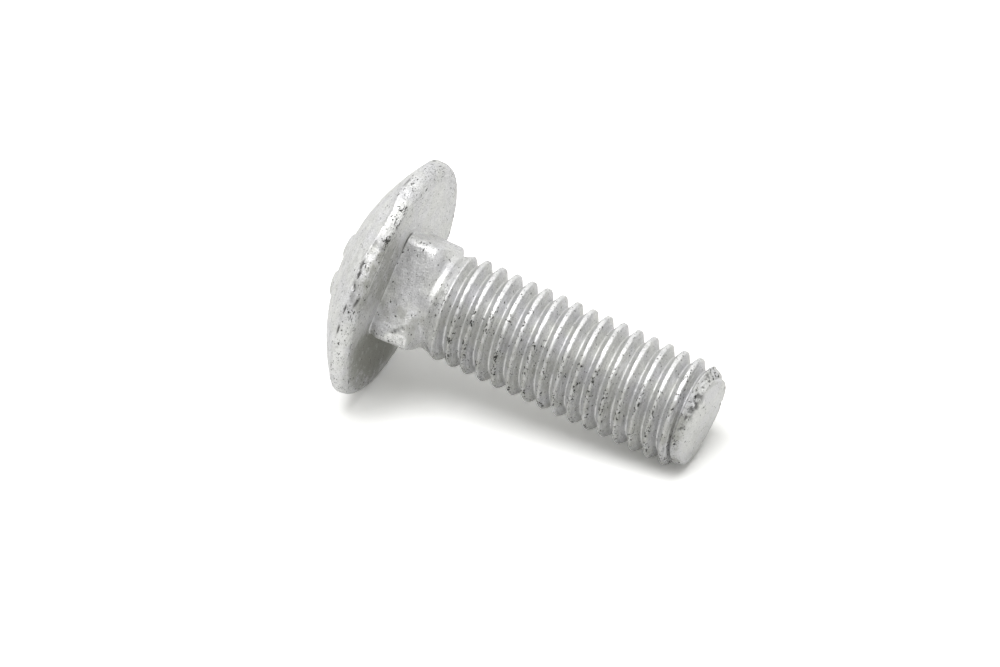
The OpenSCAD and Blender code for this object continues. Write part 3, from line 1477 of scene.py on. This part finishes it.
FINISHES = {
    Skin.FORGED: ZincFinish("forged_zinc"),
    Skin.ROLLED: ZincFinish("rolled_zinc", warm=(0.62, 0.622, 0.608, 1.0), cool=(0.615, 0.615, 0.622, 1.0)),
    Skin.SHEARED: ZincFinish("sheared_zinc", spread=0.25, pit_share=0.5, grain_depth=0.012, streak_swing=0.2),
}


@dataclass
class Bolt:
    """The whole bolt as one closed skin, lumpy and nicked as the zinc left it."""

    head: Head = field(default_factory=Head)
    neck: Neck = field(default_factory=Neck)
    thread: Thread = field(default_factory=Thread)
    lump: float = 0.022
    lump_size: float = 1.9
    pimple: float = 0.014
    pimple_size: float = 0.62
    ragged: float = 0.024
    ragged_size: float = 0.42
    rim_lump: float = 0.045
    rim_lump_size: float = 0.6
    forge_ring: float = 0.014
    forge_ring_step: float = 0.62
    forge_wander: float = 1.4
    forge_wave: float = 2.4
    forge_inner: Span = (6.4, 7.2)
    forge_outer: Span = (9.9, 9.2)
    rim_lump_zone: Zone = Zone((-1.8, -1.4), (9.9, 10.6))
    gap_reach: Span = (6.43, 6.32)
    crest_fade: float = 0.3
    fine_from: float = 9.9
    fine_above: float = 1.8

    def underside(self) -> Outline:
        """The rings of the underside and of the fillet at the neck's root.

        Returns:
            Radius and height of each ring.
        """
        rings, fillet_rings = 28, ((0.02, 0.035), (0.04, 0.07), (0.06, 0.12))
        inner = self.neck.corner_d / 2
        flats = [(mix(self.head.flat_r, inner, ring / rings), 0.0) for ring in range(1, rings + 1)]
        return flats + [(inner - inwards, z) for inwards, z in fillet_rings]

    def shape(self, angle: float, radius: float, z: float) -> tuple[float, float]:
        """Moves a place of the turned blank to where the head, the underside or the neck has it.

        Args:
            angle: Polar angle of the place.
            radius: Its distance from the axis on the blank.
            z: Its height on the blank.

        Returns:
            The new radius and height.
        """
        if z < -WELD:
            return self.head.shape(angle, radius, z)
        root = self.neck.square(angle)
        if z < WELD:
            inner = self.neck.corner_d / 2
            share = (self.head.flat_r - radius) / (self.head.flat_r - inner)
            wide = self.head.flat_r + self.head.sideways(angle, self.head.flat_r) + self.head.fullness(angle)
            return mix(wide, root + self.neck.fillet, share), 0.0
        if z < self.neck.fillet + WELD:
            turn = math.acos(max(0.0, 1 - z / self.neck.fillet))
            return root + self.neck.fillet * (1 - math.sin(turn)), z
        return self.neck.radius(angle, z), z

    def masks(self, angle: float, radius: float, z: float) -> dict[Mask, float]:
        """The finish masks at a place on the plain skin.

        Args:
            angle: Polar angle of the place.
            radius: Its distance from the axis.
            z: Its height.

        Returns:
            The value of each mask.
        """
        if z > self.thread.shoulder_end:
            return self.thread_masks(angle, radius, z)
        if z > WELD:
            return self.neck_masks(angle, z)
        head, on_underside = self.head, z > -WELD
        # The gap at the neck's corner is painted dark on the underside, as shade.
        gap = self.neck.crevice(angle, 0.0) * smooth_step(*self.gap_reach, radius) if on_underside else 0.0
        return {
            # Painted light on the head: a lighter upper underside, a reflection on the lower rim, a highlight
            # on the ridge.
            Mask.BURNISH_AND_HIGHLIGHT: head.smooth(angle, radius, z),
            Mask.WORN: head.worn(angle, radius, z),
            Mask.NICK_AND_SHADE: max(head.cut(angle, radius, z)[1], gap),
            Mask.DIRT_AND_SHADE: head.grime(angle, radius, z),
            Mask.LAY: radius - z,
        }

    def neck_masks(self, angle: float, z: float) -> dict[Mask, float]:
        """The finish masks on the neck and the shoulder.

        Args:
            angle: Polar angle of the place.
            z: Its height.

        Returns:
            The value of each mask.
        """
        neck = self.neck
        return {
            Mask.BURNISH_AND_HIGHLIGHT: smooth_step(0.06, 0.16, neck.facet_cut(angle, z)),
            Mask.WORN: neck.worn(angle, z),
            # Painted shade in the gap at the neck's upper corner, beside the fold above the facet.
            Mask.NICK_AND_SHADE: max(neck.crevice(angle, z), neck.fold_shade * neck.facet_edge(angle, z)),
            # Painted shade in the valley and on the lower front, over a base of soiled zinc.
            Mask.DIRT_AND_SHADE: max(neck.grime, neck.valley_shade * neck.hollow(angle, z),
                            neck.lower_front_shade * between(angle, neck.lower_front)),
            Mask.LAY: 0.5 * z,
        }

    def thread_masks(self, angle: float, radius: float, z: float) -> dict[Mask, float]:
        """The finish masks on the thread, its chamfer and the end.

        Args:
            angle: Polar angle of the place.
            radius: Its distance from the axis.
            z: Its height.

        Returns:
            The value of each mask.
        """
        thread = self.thread
        nick = thread.nick(angle, radius, z)
        if z > thread.end_z - WELD and radius < thread.tip_r - thread.face_inset:
            return {Mask.BURNISH_AND_HIGHLIGHT: 0.0, Mask.WORN: 0.1, Mask.NICK_AND_SHADE: nick, Mask.DIRT_AND_SHADE: 0.0, Mask.LAY: radius * 0.3}
        before_chamfer = smooth_step(thread.chamfer_z + self.crest_fade, thread.chamfer_z, z)
        return {
            Mask.BURNISH_AND_HIGHLIGHT: thread.crest(angle, radius, z) * before_chamfer,
            Mask.WORN: thread.worn(angle, radius, z),
            Mask.NICK_AND_SHADE: nick,
            Mask.DIRT_AND_SHADE: thread.grime(angle, radius, z),
            Mask.LAY: abs(thread.offset(angle, z)[0]),
        }

    def relief(self, place: Vector, worn: float) -> float:
        """How far the zinc stands proud of the smooth skin at a place.

        Args:
            place: The place in millimetres.
            worn: How thin and pitted the zinc is there.

        Returns:
            The rise in millimetres, below zero in a hollow.
        """
        angle, radius, z = math.atan2(place.y, place.x), math.hypot(place.x, place.y), place.z
        rise = self.lump * ripple(place, self.lump_size)
        rise += self.pimple * ripple(place, self.pimple_size, shift=9.0)
        rise += self.ragged * worn * ripple(place, self.ragged_size, shift=17.0)
        if z < WELD:
            rim = self.rim_lump_zone.share(radius, z)
            rise += self.rim_lump * rim * ripple(place, self.rim_lump_size, shift=23.0)
        if abs(z) < WELD:
            wander = self.forge_wander * ripple(place, self.forge_wave, shift=5.0)
            beat = math.sin(radius / self.forge_ring_step * math.tau + wander)
            patch = smooth_step(-0.1, 0.4, ripple(toward(angle) * 6, 3.0, shift=2.0))
            band = self.forge_ring * beat * patch * smooth_step(*self.forge_inner, radius)
            rise += band * smooth_step(*self.forge_outer, radius)
        return rise

    def torn(self, z: float, nick: float) -> float:
        """How deep the shear tore the end's edge.

        Args:
            z: Height of the place.
            nick: Value of the nick mask there.

        Returns:
            The depth in millimetres.
        """
        start_z = self.thread.chamfer_z
        return self.thread.torn_depth * nick * smooth_step(start_z, start_z + 0.4, z)

    def mark(self, bm: bmesh.types.BMesh, verts: Iterable[bmesh.types.BMVert]) -> None:
        """Writes the finish masks on vertices that still stand on the plain skin.

        Args:
            bm: The mesh that holds them.
            verts: The vertices.
        """
        layers = {mask: bm.verts.layers.float[mask.value] for mask in Mask}
        for vert in verts:
            for mask, value in self.masks(*polar(vert)).items():
                vert[layers[mask]] = value

    def refine(self, bm: bmesh.types.BMesh) -> None:
        """Halves the mesh on the part of the rim where the crease and the fold run.

        Args:
            bm: The mesh that holds the plain head.
        """
        near = set()
        for vert in bm.verts:
            angle, radius, z = polar(vert)
            creased = between(angle, self.head.crease.fade) + between(angle, self.head.fold.fade)
            if radius > self.fine_from and -self.fine_above < z < WELD and creased > 0:
                near.add(vert)
        edges = [edge for edge in bm.edges if edge.verts[0] in near and edge.verts[1] in near]
        bmesh.ops.subdivide_edges(bm, edges=edges, cuts=1, use_grid_fill=True)

    def weather(self, bm: bmesh.types.BMesh) -> None:
        """Sorts the faces into skins, raises the lumps, tears the end's edge and leans the end.

        Args:
            bm: The smooth closed skin, with its masks.
        """
        worn, nick = (bm.verts.layers.float[mask.value] for mask in (Mask.WORN, Mask.NICK_AND_SHADE))
        for face in bm.faces:
            face.smooth = True
            face.material_index = self.skin_at(min(vert.co.z for vert in face.verts)).value
        bm.normal_update()
        moves = [(vert, vert.normal * (self.relief(vert.co, vert[worn]) - self.torn(vert.co.z, vert[nick])))
                 for vert in bm.verts]
        for vert, move in moves:
            vert.co += move
            vert.co.z += self.thread.end_shift(*polar(vert))

    def skin_at(self, low: float) -> Skin:
        """The skin that a face belongs to.

        Args:
            low: Height of the face's lowest corner.

        Returns:
            The skin.
        """
        if low > self.thread.end_z - self.thread.end_round - WELD:
            return Skin.SHEARED
        return Skin.ROLLED if low > self.thread.shoulder_end - WELD else Skin.FORGED

    def build(self, lay: Lay) -> bpy.types.Object:
        """Makes the bolt's mesh and puts it where the bolt lies.

        Args:
            lay: Where the bolt lies.

        Returns:
            The finished piece.
        """
        bm = bmesh.new()
        for mask in Mask:
            bm.verts.layers.float.new(mask.value)
        self.thread.build(bm)
        self.mark(bm, bm.verts)
        blank = self.head.profile() + self.underside() + self.neck.profile()
        bmesh.ops.spin(
            bm, geom=chain(bm, blank, self.thread.start_degrees), cent=(0, 0, 0), axis=(0, 0, 1),
            dvec=(0, 0, 0), angle=math.tau, steps=SECTORS, use_merge=True,
        )
        self.refine(bm)
        forged = [vert for vert in bm.verts if vert.co.z < self.thread.shoulder_end + WELD]
        self.mark(bm, forged)
        for vert in forged:
            angle, radius, z = polar(vert)
            if radius > WELD:
                angle = round(angle / SECTOR * 2) * SECTOR / 2
            set_polar(vert, angle, *self.shape(angle, radius, z))
        bmesh.ops.remove_doubles(bm, verts=bm.verts, dist=WELD)
        bmesh.ops.recalc_face_normals(bm, faces=bm.faces)
        self.weather(bm)
        open_edges = sum(1 for edge in bm.edges if not edge.is_manifold)
        triangles = sum(len(face.verts) - 2 for face in bm.faces)
        log.info("galvanised_bolt: %d triangles, %d open edges", triangles, open_edges)
        mesh = bpy.data.meshes.new("galvanised_bolt")
        bm.transform(lay.matrix() @ Matrix.Scale(MM, 4))
        bm.to_mesh(mesh)
        bm.free()
        piece = bpy.data.objects.new("galvanised_bolt", mesh)
        bpy.context.scene.collection.objects.link(piece)
        return piece

    def dress(self, piece: bpy.types.Object) -> None:
        """Gives each skin of the piece its zinc finish, in the order of the Skin options.

        Args:
            piece: The bolt's object.
        """
        effects = Effects.build()
        for skin in Skin:
            finish = FINISHES[skin]
            piece.data.materials.append(finish.build(effects))
            log.info("%s: finish on the %s skin", finish.name, skin.name.lower())


@dataclass(frozen=True)
class Lamp:
    """A square soft lamp; its place in metres is given by its direction from the bolt and its distance."""

    name: str
    azimuth: float
    elevation: float
    distance: float
    size: float
    glow: float

    def build(self) -> bpy.types.Object:
        """Hangs the lamp so that it faces the bolt, at the strength that gives its panel the wanted glow.

        Returns:
            The lamp's object.
        """
        way = aimed(self.azimuth, self.elevation)
        data = bpy.data.lights.new(self.name, "AREA")
        data.shape, data.size, data.energy = "SQUARE", self.size, self.glow * math.pi * self.size**2
        lamp = bpy.data.objects.new(self.name, data)
        lamp.location = way * self.distance
        lamp.rotation_euler = (-way).to_track_quat("-Z", "Y").to_euler()
        bpy.context.scene.collection.objects.link(lamp)
        return lamp


@dataclass(frozen=True)
class Studio:
    """A pale floor under a soft lamp, inside a white surround that is dimmer on the viewer's side."""

    floor_side: float = 3.0
    floor_white: float = 0.8
    floor_shown: float = 1.4
    floor_mirrored: float = 0.95
    surround: float = 1.2
    dim_side: float = 0.5
    dim_way: Vector = Vector((0.3, -0.85, 0.43))
    dim_span: Span = (0.2, 0.9)
    shade: float = 0.43
    white: Colour = (1.0, 1.0, 1.0, 1.0)
    shade_tint: Colour = (1.0, 1.0, 0.95, 1.0)
    lamps: tuple[Lamp, ...] = (Lamp("top_softbox", 0.0, 74.0, 0.6, 0.4, 5.1),)

    @staticmethod
    def by_ray(board: Board, plain: Source, levels: dict[str, float]) -> Source:
        """Chooses a level by the kind of ray that meets the surface.

        Args:
            board: The board of the floor or the surround.
            plain: The level for every other ray.
            levels: The level for a kind of ray, by its name on Light Path.

        Returns:
            The chosen level.
        """
        path = board.add("LightPath", {})
        for ray, level in levels.items():
            plain = board.add("Mix", {"Factor": path.outputs[ray], "A": plain, "B": level}).outputs["Result"]
        return plain

    def floor(self) -> bpy.types.Object:
        """Makes the floor, which shows brighter than it lights.

        Returns:
            The floor's object.
        """
        bm = bmesh.new()
        bmesh.ops.create_grid(bm, x_segments=1, y_segments=1, size=self.floor_side / 2)
        mesh = bpy.data.meshes.new("floor")
        bm.to_mesh(mesh)
        bm.free()
        floor = bpy.data.objects.new("floor", mesh)
        bpy.context.scene.collection.objects.link(floor)
        material = bpy.data.materials.new("pale_floor")
        material.use_nodes = True
        board, nodes = Board(material.node_tree), material.node_tree.nodes
        nodes.remove(nodes["Principled BSDF"])
        shown = {"Is Glossy Ray": self.floor_mirrored, "Is Camera Ray": self.floor_shown}
        shader = board.add("BsdfDiffuse", {"Color": self.by_ray(board, self.floor_white, shown)})
        board.join(shader.outputs[0], nodes["Material Output"].inputs["Surface"])
        mesh.materials.append(material)
        return floor

    def world(self) -> bpy.types.World:
        """Makes the surround: white to the viewer, pale in the metal, and low as a light on the floor.

        Returns:
            The world.
        """
        world = bpy.data.worlds.new("studio")
        world.use_nodes = True
        board, background = Board(world.node_tree), world.node_tree.nodes["Background"]
        on_floor = board.add("LightPath", {}).outputs["Is Diffuse Ray"]
        board.join(board.tint(on_floor, self.white, self.shade_tint), background.inputs["Color"])
        facing_dim = board.tree.nodes.new("ShaderNodeVectorMath")
        facing_dim.operation = "DOT_PRODUCT"
        board.join(board.add("TexCoord", {}).outputs["Generated"], facing_dim.inputs[0])
        facing_dim.inputs[1].default_value = self.dim_way.normalized()
        strength = board.ramp(facing_dim.outputs["Value"], *self.dim_span, self.surround, self.dim_side)
        shown = {"Is Diffuse Ray": self.shade, "Is Camera Ray": 1.0}
        board.join(self.by_ray(board, strength, shown), background.inputs["Strength"])
        bpy.context.scene.world = world
        return world

    def build(self) -> None:
        """Makes the floor, the surround and the lamps."""
        self.floor()
        self.world()
        for lamp in self.lamps:
            lamp.build()
        log.info("studio: %d lamps", len(self.lamps))


@dataclass(frozen=True)
class View:
    """The camera: where it looks, from where, and its lens."""

    target: Vector = Vector((10.22477, -1.51272, -1.43335)) * MM
    azimuth: float = 25.1339
    elevation: float = 35.0606
    roll: float = -0.1893
    distance: float = 0.74
    lens: float = 303.80
    sensor: float = 36.0
    clip: tuple[float, float] = (0.01, 20.0)

    def build(self, origin: Vector) -> bpy.types.Object:
        """Makes the scene's camera.

        Args:
            origin: The bolt's origin, from which the target is measured.

        Returns:
            The camera's object.
        """
        data = bpy.data.cameras.new("camera")
        data.lens, data.sensor_width = self.lens, self.sensor
        data.clip_start, data.clip_end = self.clip
        camera = bpy.data.objects.new("camera", data)
        back, turn = aimed(self.azimuth, self.elevation), math.radians(self.azimuth)
        level = Vector((math.cos(turn), math.sin(turn), 0.0))
        right = Matrix.Rotation(math.radians(self.roll), 3, back) @ level
        axes = Matrix((right, back.cross(right), back)).transposed().to_4x4()
        place = origin + self.target + back * self.distance
        camera.matrix_world = Matrix.Translation(place) @ axes
        bpy.context.scene.collection.objects.link(camera)
        bpy.context.scene.camera = camera
        return camera


def main() -> None:
    """Builds the bolt, its finish, the studio and the camera."""
    logging.basicConfig(level=logging.INFO, format="%(message)s")
    bolt = Bolt()
    lay = Lay.from_record(frame["record"], bolt.neck.depth)
    piece = bolt.build(lay)
    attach(piece, BODY)
    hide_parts(NODE)
    bolt.dress(piece)
    View().build(lay.origin)
    Studio().build()
    bpy.context.scene.view_settings.view_transform = "Standard"


if __name__ == "__main__":
    main()
